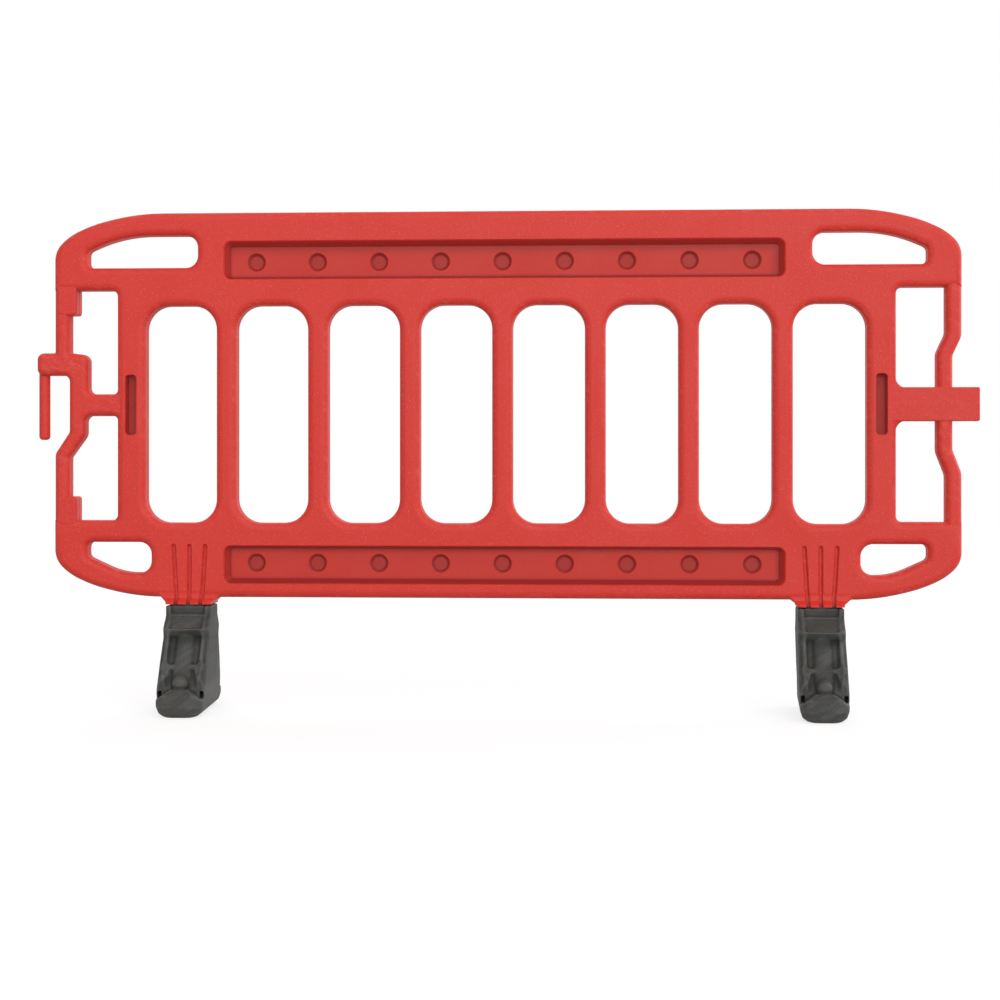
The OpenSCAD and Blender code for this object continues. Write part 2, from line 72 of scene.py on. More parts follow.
# %% Places in millimetres
MM = 0.001
panel_low, panel_high = (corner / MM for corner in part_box("panel"))
foot_low, foot_high = (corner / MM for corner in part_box("right_foot"))
link_reach = 40
neck_drop = 14
end_x = panel_high.x - link_reach
top_z = panel_high.z
neck_z = panel_low.z
bottom_z = neck_z + neck_drop
mid_z = (bottom_z + top_z) / 2
foot_x = (foot_low.x + foot_high.x) / 2
foot_top = foot_high.z
print("panel end", round(end_x), "top", round(top_z), "bottom", round(bottom_z), "foot", round(foot_x))

# %% [markdown]
# ## The camera
# The photograph is taken almost square on, from a little to the right and below the panel's middle, and its
# upright edges stay parallel. A level camera keeps them so, and a small vertical shift does the framing.

# %% Camera
camera_distance = 4.5
camera_height = 0.578
camera_turn = radians(3.6)
camera_aside = -0.006
focal_length = 74.9
upward_shift = -0.055
scene = bpy.context.scene


def new_piece(name, data):
    """An object with this data, put into the scene."""
    piece = bpy.data.objects.new(name, data)
    scene.collection.objects.link(piece)
    return piece


lens = bpy.data.cameras.new("camera")
lens.lens = focal_length
lens.shift_y = upward_shift
camera = new_piece("camera", lens)
camera.location = (
    camera_distance * sin(camera_turn) + camera_aside,
    -camera_distance * cos(camera_turn),
    camera_height,
)
camera.rotation_euler = (pi / 2, 0, camera_turn)
scene.camera = camera
print("camera at", [round(place, 3) for place in camera.location])

# %% [markdown]
# ## Node trees written as sums
# Finishes and repeating shapes are node trees. One small class wraps a socket, so that a tree can be
# written as a sum in Python, and one method adds any other node. It serves shaders and Geometry Nodes.

# %% Node maths
class Value:
    """One output of a node. Operators on it add Math nodes to the same tree."""

    def __init__(self, graph, socket):
        self.graph = graph
        self.socket = socket

    def math(self, operation, first, second):
        return self.graph.node("ShaderNodeMath", {0: first, 1: second}, operation=operation)

    def __add__(self, other):
        return self.math("ADD", self, other)

    def __sub__(self, other):
        return self.math("SUBTRACT", self, other)

    def __rsub__(self, other):
        return self.math("SUBTRACT", other, self)

    def __mul__(self, other):
        return self.math("MULTIPLY", self, other)

    def __pow__(self, other):
        return self.math("POWER", self, other)

    def __abs__(self):
        return self.math("ABSOLUTE", self, 0)

    __radd__ = __add__
    __rmul__ = __mul__


class Graph:
    """A node tree and the one method that adds nodes to it."""

    def __init__(self, tree):
        self.tree = tree

    def node(self, kind, inputs, output=0, **settings):
        made = self.tree.nodes.new(kind)
        for name, setting in settings.items():
            setattr(made, name, setting)
        for name, given in inputs.items():
            if isinstance(given, Value):
                self.tree.links.new(given.socket, made.inputs[name])
            else:
                made.inputs[name].default_value = given
        return Value(self, made.outputs[output] if made.outputs else None)


def empty_graph(owner):
    """The node tree of a world or a material, with nothing in it."""
    owner.use_nodes = True
    owner.node_tree.nodes.clear()
    return Graph(owner.node_tree)


print("node maths ready")

# %% [markdown]
# ## Light and background
# The photograph is a cut-out on pure white, lit softly. An even world with a wide bright area in front and
# another behind does that. Only camera, mirror and glass rays see the world at full white, so that the
# background adds no light to the object.

# %% Light path and world
def seen_directly(graph):
    """1 for rays from the camera, from a glossy surface or through glass, and 0 for the light itself."""
    seen = graph.node("ShaderNodeLightPath", {}, "Is Camera Ray")
    path = seen.socket.node
    for ray in ("Is Glossy Ray", "Is Transmission Ray"):
        seen = seen.math("MAXIMUM", seen, Value(graph, path.outputs[ray]))
    return seen


world_even = 0.20
# A bright area of the world is the way to its middle and its strength.
front_area = ((0.34, -0.91, 0.24), 2.46)
rear_area = ((-0.15, 0.93, 0.33), 2.10)
world_focus = 3
world = bpy.data.worlds.new("studio")
studio = empty_graph(world)
heading = studio.node("ShaderNodeTexCoord", {}, "Generated")
soft = world_even
for light_from, brightness in (front_area, rear_area):
    ways = {0: heading, 1: light_from}
    facing = studio.node("ShaderNodeVectorMath", ways, "Value", operation="DOT_PRODUCT")
    soft = soft + facing.math("MAXIMUM", facing, 0) ** world_focus * brightness
seen = seen_directly(studio)
strength = soft * (1 - seen) + seen
sky = studio.node("ShaderNodeBackground", {"Color": (1, 1, 1, 1), "Strength": strength})
studio.node("ShaderNodeOutputWorld", {"Surface": sky})
scene.world = world
scene.view_settings.view_transform = "Standard"
print("world light", world_even, "to", world_even + front_area[1])

# %% [markdown]
# ## Floor
# The floor has to look as white as the background and still keep the object's shadow. Grey paint takes the
# shadow, and a glow that only those same rays see lifts it to white.

# %% Floor
floor_half = 9.0
floor_glow = 0.72
floor_grey = (0.34, 0.34, 0.34, 1)

paint = bpy.data.materials.new("floor_white")
floor_paint = empty_graph(paint)
matt = floor_paint.node("ShaderNodeBsdfDiffuse", {"Color": floor_grey})
glow = floor_paint.node("ShaderNodeEmission", {"Strength": seen_directly(floor_paint) * floor_glow})
floor_look = floor_paint.node("ShaderNodeAddShader", {0: matt, 1: glow})
floor_paint.node("ShaderNodeOutputMaterial", {"Surface": floor_look})

floor_mesh = bpy.data.meshes.new("floor")
floor_corners = [(x * floor_half, y * floor_half, 0) for x, y in ((-1, -1), (1, -1), (1, 1), (-1, 1))]
floor_mesh.from_pydata(floor_corners, [], [(0, 1, 2, 3)])
floor_mesh.materials.append(paint)
floor = new_piece("floor", floor_mesh)
floor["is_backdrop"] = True
print("floor", 2 * floor_half, "m wide")

# %% [markdown]
# ## Lamps
# Two soft square lamps give the light a direction: a weak one beside the camera, and one at the right that
# brightens the walls that face it.

# %% Lamps
lamp_size = 2.0
panel_middle = Vector((0, 0, mid_z * MM))


def lamp(name, place, power):
    """A square soft lamp that points at the panel's middle."""
    light = bpy.data.lights.new(name, "AREA")
    light.size = lamp_size
    light.energy = power
    made = new_piece(name, light)
    made.location = place
    aim = panel_middle - Vector(place)
    made.rotation_euler = aim.to_track_quat("-Z", "Y").to_euler()


lamp("front_lamp", place=(1.0, -4.6, 2.2), power=22)
lamp("right_lamp", place=(4.4, 1.6, 1.6), power=60)

# %% [markdown]
# ## Helpers for the finishes
# Plastic and metal are never one even colour. A photograph could be wrapped round each piece, but noise in
# the object's own space has no seams and stays the same size everywhere.

# %% Finish helpers
def finish(name, build):
    """A material whose Principled surface gets its values from a build function."""
    made = bpy.data.materials.new(name)
    graph = empty_graph(made)
    surface = graph.node("ShaderNodeBsdfPrincipled", build(graph))
    graph.node("ShaderNodeOutputMaterial", {"Surface": surface})
    return made


def dress(piece, look):
    """Gives a piece one finish in place of any other."""
    piece.data.materials.clear()
    piece.data.materials.append(look)


def place_on_piece(graph):
    return graph.node("ShaderNodeTexCoord", {}, "Object")


def noise(place, scale, detail=2.0, roughness=0.5):
    given = {"Vector": place, "Scale": scale, "Detail": detail, "Roughness": roughness}
    return place.graph.node("ShaderNodeTexNoise", given)


def between(given, low, high):
    """0 at low, 1 at high and smooth between them. Low may be the larger of the two."""
    ends = {"Value": given, "From Min": low, "From Max": high}
    return given.graph.node("ShaderNodeMapRange", ends, interpolation_type="SMOOTHSTEP")


def fade(given, start, end):
    """0 at one distance and 1 at another, both in millimetres, and smooth between them."""
    return between(given, start * MM, end * MM)


def blend(share, first, second):
    return share.graph.node("ShaderNodeMix", {0: share, 6: first, 7: second}, 2, data_type="RGBA")


def bump(height, depth, strength):
    given = {"Height": height, "Distance": depth, "Strength": strength}
    return height.graph.node("ShaderNodeBump", given)


def stretched(place, size, turn=(0, 0, 0)):
    """A place for a pattern that is turned first and then as large along each axis as size says."""
    given = {"Vector": place, "Scale": size, "Rotation": turn}
    return place.graph.node("ShaderNodeMapping", given, vector_type="TEXTURE")


def axes(place):
    """The three parts of a place or a direction."""
    split = place.graph.node("ShaderNodeSeparateXYZ", {"Vector": place})
    return [Value(place.graph, output) for output in split.socket.node.outputs]


def from_planes(place):
    """The distances of a place from the object's three middle planes."""
    return [abs(axis) for axis in axes(place)]


print("finish helpers ready")

# %% [markdown]
# ## Where shade is painted
# Long bands and short grooves are cut into the panel further on. Their places are named here, because shade
# is painted into them: on leaning walls, round pits and in grooves, and as shadow under the upper walls and
# beside the right end walls, while the open floors stay lighter. Painted by hand, it would stay behind when
# they change.

# %% Places of the recesses
panel_depth = 56
band_inset = 374
band_height = 82.8
band_lean = 8.2
band_end_lean = 12
band_depth = 20
floor_slide = 2.5
top_band_edge = 63.3
bottom_band_edge = 30
groove_inset = 170
groove_width = 24
groove_length = 131
band_half = end_x - band_inset
groove_x = end_x - groove_inset
# A band is its lower edge and the way to the panel's middle, up or down.
bands = (
    (bottom_z + bottom_band_edge, 1),
    (top_z - top_band_edge - band_height, -1),
)
print("bands from", [round(low) for low, inward in bands], "mm up, grooves", round(groove_x), "mm out")

# %% Painted shade in the recesses
# How dark the painted shade is on band walls, round pits, on upward walls and in grooves, and how much
# lighter the open floors and pit floors stay.
crisp_edge = 6
floor_shadow_widths = (12, 25)
wall_shade = 0.55
open_floor_lift = 0.33
pit_shade = 0.58
pit_floor_lift = 0.40
upward_wall_shade = 0.24
groove_shade = 0.52


def in_rectangle(place, middle, half_wide, half_high, soft):
    """1 inside a rectangle on the face, fading in slowly from its upper and right edges."""
    aside, _, rise = axes(place)
    found = 1.0
    for way, half in ((aside, half_wide), (rise - middle * MM, half_high)):
        found = found * fade(way, half, half - soft)
        found = found * fade(way, -half, min(soft, crisp_edge) - half)
    return found


def shade_in_bands(place, below):
    """Where a place is sunk in a band, and how much painted shade it gets there."""
    in_band = 0.0
    open_floor = 0.0
    for (low, inward), soft in zip(bands, floor_shadow_widths):
        middle = low + band_height / 2
        in_band = in_band + in_rectangle(place, middle, band_half + 1, band_height / 2 + 1, 2)
        middle = middle + inward * floor_slide
        floor_high = band_height / 2 - band_lean
        # The open floor is lighter, with painted shadow fading in below the upper wall and beside the right
        # wall.
        open_floor = open_floor + in_rectangle(place, middle, band_half - band_end_lean, floor_high, soft)
    sunk = fade(below, 1.5, 6) * in_band
    # Painted shade on upward-facing walls, a dark painted ring on the pit walls and less on the pit floors.
    upward = between(axes(place.graph.node("ShaderNodeTexCoord", {}, "Normal"))[2], 0.3, 0.8)
    pit_wall = fade(below, band_depth + 0.4, band_depth + 2.5)
    pit_floor = fade(below, band_depth + 5.5, band_depth + 6.8)
    shade = wall_shade - open_floor * open_floor_lift + (pit_wall - pit_floor * pit_floor_lift) * pit_shade
    return sunk, sunk * (shade + upward * (1 - pit_wall) * upward_wall_shade)


# Painted shade on the walls of the stile grooves.
def shade_in_grooves(aside, rise, below):
    from_groove = abs(aside - groove_x * MM)
    from_middle = abs(rise - mid_z * MM)
    across = fade(from_groove, groove_width / 2 + 1, groove_width / 2 - 1)
    along = fade(from_middle, groove_length / 2 + 1, groove_length / 2 - 1)
    return across * along * fade(below, 2, 7) * groove_shade


print("dirt helpers ready")

# %% [markdown]
# ## Red moulded plastic
# The panel is coloured right through and comes out of the mould with a fine grain. Close to, the red is
# sprinkled with pale specks, its edges are scuffed, and it turns paler at a grazing angle.

# %% Red plastic
red_face = (0.660, 0.026, 0.0135, 1)
red_deep = (0.580, 0.022, 0.012, 1)
red_speck = (0.780, 0.165, 0.145, 1)
# The dark red of the painted shade in the recesses.
red_shade = (0.200, 0.006, 0.003, 1)
red_scuff = (0.740, 0.150, 0.130, 1)
red_sheen = (1.0, 0.86, 0.84, 1)
scratch_size = (0.05, 0.02, 0.012)
scratch_turn = (0, 0.5, 0.3)


def red_plastic(graph):
    place = place_on_piece(graph)
    aside, from_seam, rise = from_planes(place)
    below = panel_depth / 2 * MM - from_seam
    grain = noise(place, 620, 3.0, 0.6)
    speck = between(noise(place, 330, 2.0, 0.7), 0.56, 0.72)
    cloud = between(noise(place, 9, 4.0, 0.6), 0.35, 0.75)
    # Painted shade in the bands and in the stile grooves.
    sunk, painted_shade = shade_in_bands(place, below)
    painted_shade = painted_shade + shade_in_grooves(aside, rise, below)
    edge = fade(below, 0.4, 3) * fade(below, 15, 7)
    scratch = noise(stretched(place, scratch_size, scratch_turn), 1.0, 6.0, 0.72)
    scuff = edge * (1 - sunk) * between(scratch, 0.50, 0.66)
    colour = blend(cloud * 0.18, red_face, red_deep)
    colour = blend(speck * (0.42 - sunk * 0.30), colour, red_speck)
    colour = blend(painted_shade, colour, red_shade)
    colour = blend(scuff * 0.30, colour, red_scuff)
    return {
        "Base Color": colour,
        "Roughness": 0.5 + cloud * 0.08 + grain * 0.08 + scuff * 0.10,
        "Normal": bump(grain - scuff * 0.4, 0.0006, 0.25),
        "Sheen Weight": 0.10,
        "Sheen Roughness": 0.35,
        "Sheen Tint": red_sheen,
    }


barrier_red = finish("barrier_red", red_plastic)
print("made", barrier_red.name)

# %% [markdown]
# ## Outlines with rounded corners
# A moulding starts as a flat outline. It could be drawn point by point, but corners with a radius each say
# the same in a few numbers, and moving the arcs in or out gives the rings of a rounded edge.

# %% Outlines
arc_step = radians(7.5)
chord_gap = 0.12


def rounded(corners, grow=0.0):
    """The points of a closed outline through (x, z, radius) corners, moved outwards by grow."""
    points = []
    count = len(corners)
    for index, corner in enumerate(corners):
        before = Vector(corners[index - 1][:2])
        here = Vector(corner[:2])
        after = Vector(corners[(index + 1) % count][:2])
        way_in = (here - before).normalized()
        way_out = (after - here).normalized()
        side_in = Vector((way_in.y, -way_in.x))
        side_out = Vector((way_out.y, -way_out.x))
        turn = atan2(way_in.x * way_out.y - way_in.y * way_out.x, way_in.dot(way_out))
        radius = corner[2] if turn > 0 else -corner[2]
        centre = here - (side_in + side_out) * radius / (1 + side_in.dot(side_out))
        finest = (8 * chord_gap / max(corner[2], 1)) ** 0.5
        steps = max(1, ceil(abs(turn) / min(arc_step, finest)))
        for step in range(steps + 1):
            side = Matrix.Rotation(turn * step / steps, 2) @ side_in
            points.append(centre + side * (radius + grow))
    return points


def rectangle(left, right, low, high, radius):
    return [(left, low, radius), (right, low, radius), (right, high, radius), (left, high, radius)]


def mirrored(corners):
    """The same outline on the other side of x = 0, still anticlockwise."""
    return [(-x, z, radius) for x, z, radius in reversed(corners)]


def upside_down(corners):
    return [(x, 2 * mid_z - z, radius) for x, z, radius in reversed(corners)]


print("an outline of a 100 mm square has", len(rounded(rectangle(0, 100, 0, 100, 10))), "points")

# %% [markdown]
# ## Solids through rings
# A plate, a cut and a neck are all solids through a row of rings. They could be boxes with a Bevel
# modifier, but a bevel on a cut mesh breaks easily, and rings put the rounding where the mould has it.

# %% Lofts
full_turn = [step * arc_step for step in range(round(2 * pi / arc_step))]


def loft(name, rings):
    """A closed solid through rings of equal length, given in millimetres."""
    count = len(rings[0])
    last = (len(rings) - 1) * count
    points = [Vector(point) * MM for ring in rings for point in ring]
    faces = [list(range(count)), list(range(last, last + count))]
    for start in range(0, last, count):
        for index in range(count):
            after = (index + 1) % count
            faces.append((start + index, start + after, start + count + after, start + count + index))
    mesh = bpy.data.meshes.new(name)
    mesh.from_pydata(points, [], faces)
    shape = bmesh.new()
    shape.from_mesh(mesh)
    bmesh.ops.recalc_face_normals(shape, faces=shape.faces)
    shape.to_mesh(mesh)
    shape.free()
    return new_piece(name, mesh)


def upright(corners, grow, depth):
    return [(point.x, depth, point.y) for point in rounded(corners, grow)]


def level(corners, height):
    return [(point.x, point.y, height) for point in rounded(corners)]


def circle(x, radius, height):
    """A level ring round an upright axis at x."""
    return [(x + radius * cos(turn), radius * sin(turn), height) for turn in full_turn]


def cylinder(name, x, radius, low, high):
    return loft(name, [circle(x, radius, height) for height in (low, high)])


def quarter(width, depth, steps=6):
    """A quarter round from face to side, as (depth below the face, distance in from the side)."""
    turns = [pi / 2 * step / steps for step in range(steps + 1)]
    return [(depth * (1 - cos(turn)), width * (1 - sin(turn))) for turn in turns]


print("a rounded edge has", len(quarter(10, 10)), "rings")

# %% [markdown]
# ## Joining and cutting
# A blow mould forms everything at once, so the panel's parts are joined into one mesh, and holes and
# recesses are cut from it. The Manifold solver is quick and keeps the result closed. Normals weighted by
# face area then keep flat faces flat and rounded edges smooth.

# %% Booleans and normals
def keep_result(piece):
    """Turns what the modifiers make of a piece into its plain mesh."""
    graph = bpy.context.evaluated_depsgraph_get()
    mesh = bpy.data.meshes.new_from_object(piece.evaluated_get(graph))
    before = piece.data
    piece.modifiers.clear()
    piece.data = mesh
    bpy.data.meshes.remove(before)


def combine(piece, operation, *tools):
    """Cuts tools from a piece or joins them to it, one after the other."""
    for tool in tools:
        step = piece.modifiers.new("combine", "BOOLEAN")
        step.operation = operation
        step.solver = "MANIFOLD"
        step.object = tool
        keep_result(piece)
        bpy.data.objects.remove(tool)
    return piece


def smooth(piece, sharp_angle):
    """Smooth shading with sharp creases, and flat faces that stay flat."""
    mesh = piece.data
    mesh.polygons.foreach_set("use_smooth", [True] * len(mesh.polygons))
    mesh.set_sharp_from_angle(angle=radians(sharp_angle))
    weigh = piece.modifiers.new("weigh", "WEIGHTED_NORMAL")
    weigh.keep_sharp = True
    weigh.weight = 80
    keep_result(piece)


print("joining tools ready")

# %% [markdown]
# ## The panel's body
# The body is a plate with big soft edges. Its ends droop in a long sweep and turn down round a shoulder.
# Where the mould halves met, a fine parting line runs round every edge, so the rings rise a little there.

# %% Body
edge_width = 17
edge_depth = 14
seam_height = 0.5
seam_half = 0.9
# A corner of the sweep is its distance in from the end, its rise and its radius.
end_sweep = ((179, 0, 480), (81, 25, 300), (31.5, 49, 130), (0, 80.5, 54))


def edge_rings(depth, width, drop):
    """(place across the depth, distance in from the side) for a plate with a parting line."""
    bend = quarter(width - seam_height, drop)
    front = [(below - depth / 2, inside + seam_height) for below, inside in bend]
    front += [(-seam_half, seam_height), (-seam_half / 2, 0)]
    return front + [(-place, inside) for place, inside in reversed(front)]


def plate(name, corners, depth, width, drop=None):
    rings = edge_rings(depth, width, drop or width)
    return loft(name, [upright(corners, -inside, place) for place, inside in rings])


right_end = [(end_x - inside, bottom_z + rise, radius) for inside, rise, radius in end_sweep]
right_end += upside_down(right_end)
panel = plate("panel_moulding", right_end + mirrored(right_end), panel_depth, edge_width, edge_depth)
print("body faces:", len(panel.data.polygons))

# %% [markdown]
# ## Copies in a row
# Slots and pits stand in straight rows at an even pitch. They could be copied one by one, but a small
# Geometry Nodes tree with a count and a pitch is what a maker would change. Its row becomes a mesh.

# %% Row of copies
def row_tree():
    tree = bpy.data.node_groups.new("row_of_copies", "GeometryNodeTree")
    tree.is_modifier = True
    kinds = {"Shape": "Geometry", "Count": "Int", "Pitch": "Float", "Finish": "Material"}
    for name, kind in kinds.items():
        tree.interface.new_socket(name, in_out="INPUT", socket_type="NodeSocket" + kind)
    tree.interface.new_socket("Row", in_out="OUTPUT", socket_type="NodeSocketGeometry")
    graph = Graph(tree)
    shape = graph.node("NodeGroupInput", {}, "Shape")
    given = shape.socket.node.outputs
    count, pitch, look = (Value(graph, given[name]) for name in ("Count", "Pitch", "Finish"))
    start = graph.node("ShaderNodeCombineXYZ", {"X": (count - 1) * pitch * -0.5})
    offset = graph.node("ShaderNodeCombineXYZ", {"X": pitch})
    places = {"Count": count, "Start Location": start, "Offset": offset}
    line = graph.node("GeometryNodeMeshLine", places, mode="OFFSET")
    copies = graph.node("GeometryNodeInstanceOnPoints", {"Points": line, "Instance": shape})
    real = graph.node("GeometryNodeRealizeInstances", {"Geometry": copies})
    painted = graph.node("GeometryNodeSetMaterial", {"Geometry": real, "Material": look})
    graph.node("NodeGroupOutput", {"Row": painted})
    return tree


row_of_copies = row_tree()


def row(piece, count, pitch):
    """Repeats a piece along X, centred on its own place."""
    repeat = piece.modifiers.new("row", "NODES")
    repeat.node_group = row_of_copies
    given = {"Count": count, "Pitch": pitch * MM, "Finish": barrier_red}
    for socket in row_of_copies.interface.items_tree:
        if socket.name in given:
            repeat[socket.identifier] = given[socket.name]
    keep_result(piece)
    return piece


print("row tree has", len(row_of_copies.nodes), "nodes")

# %% [markdown]
# ## Slots
# Eight upright slots lighten the panel. An opening flares out to both faces with the same soft edge as the
# outside, so what is cut out is wide at the faces and narrow at the parting line.

# %% Openings
over = 1.0
slot_count = 8
slot_pitch = 200
slot_width = 155
slot_corner = 52
bottom_rail = 162
top_rail = 203


def opening(name, corners):
    """What is taken out for a hole with rounded mouths on both faces."""
    rings = edge_rings(panel_depth, edge_width, edge_depth)
    face = rings[0][0]
    mouth = [(face - over, edge_width)] + rings + [(over - face, edge_width)]
    return loft(name, [upright(corners, inside, place) for place, inside in mouth])


slot = opening(
    "slot",
    rectangle(-slot_width / 2, slot_width / 2, bottom_z + bottom_rail, top_z - top_rail, slot_corner),
)
combine(panel, "DIFFERENCE", row(slot, slot_count, slot_pitch))
print("with slots:", len(panel.data.polygons), "faces")

# %% [markdown]
# ## Grips and end openings
# Four grips let two people carry the panel, and their roofs follow its sweep. The ends are open round the
# hook and the eye. Each opening is drawn for the right-hand end and mirrored for the left.

# %% Grips and end openings
corner_run = 138
corner_slope = radians(23)
top_grip_frame = 50
bottom_grip_frame = 53
grip_end = 73
top_grip_height = 69
bottom_grip_height = 66
grip_inner_round = 26
grip_outer_round = 12
top_grip_run = 315
bottom_grip_run = 213
top_grip_sweep = 300
grip_slope = radians(24.5)
bottom_grip_sweep = 150
end_frame = 138.5
bay_bottom = 167
bay_top = 169
bay_corner = 13
stile_x = end_x - end_frame


def grip_corners(run, grip_frame, grip_height, bend):
    """A grip in the right-hand top corner, whose upper edge follows the panel's sweep."""
    bend_x = end_x - corner_run - grip_frame * tan(corner_slope / 2)
    roof = top_z - grip_frame
    outer_x = end_x - grip_end
    return [
        (end_x - run, roof - grip_height, grip_inner_round),
        (outer_x, roof - grip_height, grip_outer_round),
        (outer_x, roof - (outer_x - bend_x) * tan(grip_slope), grip_outer_round),
        (bend_x, roof, bend),
        (end_x - run, roof, grip_inner_round),
    ]


top_grip = grip_corners(top_grip_run, top_grip_frame, top_grip_height, top_grip_sweep)
low_grip = grip_corners(bottom_grip_run, bottom_grip_frame, bottom_grip_height, bottom_grip_sweep)
bay = rectangle(stile_x, end_x + panel_depth, bottom_z + bay_bottom, top_z - bay_top, bay_corner)
for corners in (top_grip, upside_down(low_grip), bay):
    combine(panel, "DIFFERENCE", opening("right_opening", corners))
    combine(panel, "DIFFERENCE", opening("left_opening", mirrored(corners)))
print("with grips:", len(panel.data.polygons), "faces")

# %% [markdown]
# ## Recesses for reflective boards
# Two long bands on each face take a reflective board. Their walls lean so that the mould lets go, and the
# floors lie slightly nearer the panel's middle than the rims. No ring of a cut lies in the plane that it
# cuts, which keeps the mesh closed.

# %% Recesses
clear = 0.05


def recess_rings(depth, lean, rim, foot):
    """(depth below the face, distance out from the outline), from a round rim to a round foot."""
    bend = [(depth - below, inside - lean) for below, inside in quarter(foot, foot, 3)]
    return [(-over, rim)] + quarter(rim, rim, 3) + bend[::-1]


def recess(name, corners, depth, lean, rim, foot, floor=None):
    """What is taken out of the front face for a recess, whose floor may have an outline of its own."""
    face = -panel_depth / 2 - clear
    return loft(name, [
        upright(floor if floor and below > depth / 2 else corners, grow, face + below)
        for below, grow in recess_rings(depth, lean, rim, foot)
    ])


def on_both_sides(piece, tool, share=1.0, operation="DIFFERENCE"):
    """Uses a tool in front and behind, where it may be narrower."""
    back = new_piece(tool.name + "_back", tool.data.copy())
    back.data.transform(Matrix.Rotation(pi, 4, "Z"))
    back.data.transform(Matrix.Diagonal((share, 1, 1, 1)))
    combine(piece, operation, tool, back)


band_corner = 16
band_floor_half = band_half - (band_end_lean - band_lean)
for low, inward in bands:
    corners = rectangle(-band_half, band_half, low, low + band_height, band_corner)
    floor_low = low + inward * floor_slide
    sunk = rectangle(-band_floor_half, band_floor_half, floor_low, floor_low + band_height, band_corner)
    on_both_sides(panel, recess("band", corners, band_depth, band_lean, rim=2.0, foot=3.0, floor=sunk))
print("with bands:", len(panel.data.polygons), "faces")

# %% [markdown]
# ## Pits
# In each floor a row of round pits ties the two walls of the hollow panel together. One shallow dish is
# made and the row tree repeats it.

# %% Pits
pit_count = 9
pit_pitch = 134
pit_radius = 19.5
pit_lean = 5
pit_depth = 7
pit_round = 1.5
pit_slide = 3.55


def pit(height):
    """A shallow round dish below the floor of a band."""
    rim_y = band_depth - panel_depth / 2 - 2 * clear
    rings = []
    for below, grow in recess_rings(pit_depth, pit_lean, pit_round, pit_round):
        radius = pit_radius + grow
        rings.append([(radius * cos(turn), rim_y + below, height + radius * sin(turn)) for turn in full_turn])
    return loft("pit", rings)


for low, inward in bands:
    on_both_sides(panel, row(pit(low + band_height / 2 + inward * pit_slide), pit_count, pit_pitch))
print("with pits:", len(panel.data.polygons), "faces")

# %% [markdown]
# ## The end with the hook
# The left-hand post jogs inwards below the hook's arm, so that the next panel's eye has room. One outline
# holds post, arm and cross arm, because the mould rounds their inner corners alike. The pads on the post
# are crisper, so they are plates of their own.

# %% Hook frame
frame_depth = 50
frame_edge = 14
arm_foot = mid_z + 64
arm_top = mid_z + 114
cross_half = 24
jog_top = mid_z - 58.5
jog_foot = mid_z - 106
inner_jog = 8.5
post_inner = end_x - 33.5
hook_outer = end_x - 31.5
hook_inner = end_x - 74.5
lower_inner = end_x - 68
into_body = 35
post_foot = bottom_z + bay_bottom - into_body
post_top = top_z - bay_top + into_body
root_x = stile_x - 36
root_half = 51
cross_root = [
    (-stile_x, mid_z - cross_half, 11),
    (-stile_x, mid_z - root_half, 15),
    (-root_x, mid_z - root_half, 15),
]
hook_corners = [
    (-end_x, post_top, 15),
    (-end_x, arm_top, 3),
    (-panel_high.x, arm_top, 15),
    (-panel_high.x, arm_foot, 15.5),
    (-hook_outer, arm_foot, 13),
    (-hook_outer, jog_top, 12),
    (-end_x, jog_foot, 20),
    (-end_x, post_foot, 15),
    (-post_inner, post_foot, 15),
    (-post_inner, jog_foot - inner_jog, 4),
    (-lower_inner, jog_top - inner_jog, 24),
    (-lower_inner, mid_z - cross_half, 14),
    *cross_root,
    *upside_down(cross_root),
    (-hook_inner, mid_z + cross_half, 14),
    (-hook_inner, arm_top - 5, 17),
    (-post_inner, arm_top, 3),
    (-post_inner, post_top, 15),
]
combine(panel, "UNION", plate("hook_frame", hook_corners, frame_depth, frame_edge))

pad_inner = end_x - 50.5
pad_outer = end_x - 6
pad_round = 6
pad_overlap = 12
top_pad = (mid_z + 195, top_z - bay_top + pad_overlap)
bottom_pad = (bottom_z + bay_bottom - pad_overlap, mid_z - 199)
for low, high in (top_pad, bottom_pad):
    corners = rectangle(-pad_outer, -pad_inner, low, high, pad_round + 1)
    combine(panel, "UNION", plate("post_pad", corners, frame_depth + 3, pad_round))
print("with hook frame:", len(panel.data.polygons), "faces")

# %% [markdown]
# ## The hook's prong
# A round prong hangs from the hook's arm and drops into the eye of the next panel. Its tip is rounded, so
# that it finds the bore.

# %% Prong
prong_radius = 12
prong_x = -end_x - 27
prong_tip = mid_z - 76
prong_root = arm_foot + 30
prong_tip_round = 8
prong_rings = [(below, prong_radius - inside) for below, inside in quarter(prong_tip_round, prong_tip_round)]
prong_rings += [(prong_root - prong_tip, prong_radius)]
prong = loft("prong", [circle(prong_x, radius, prong_tip + rise) for rise, radius in prong_rings])
combine(panel, "UNION", prong)
print("prong", 2 * prong_radius, "mm thick")

# %% [markdown]
# ## The end with the eye
# The right-hand post bows inwards round the eye block. The next panel's prong drops into the block's bore,
# so its edges are crisp, while the post is nearly round. A gusset rounds the corner at the stile.

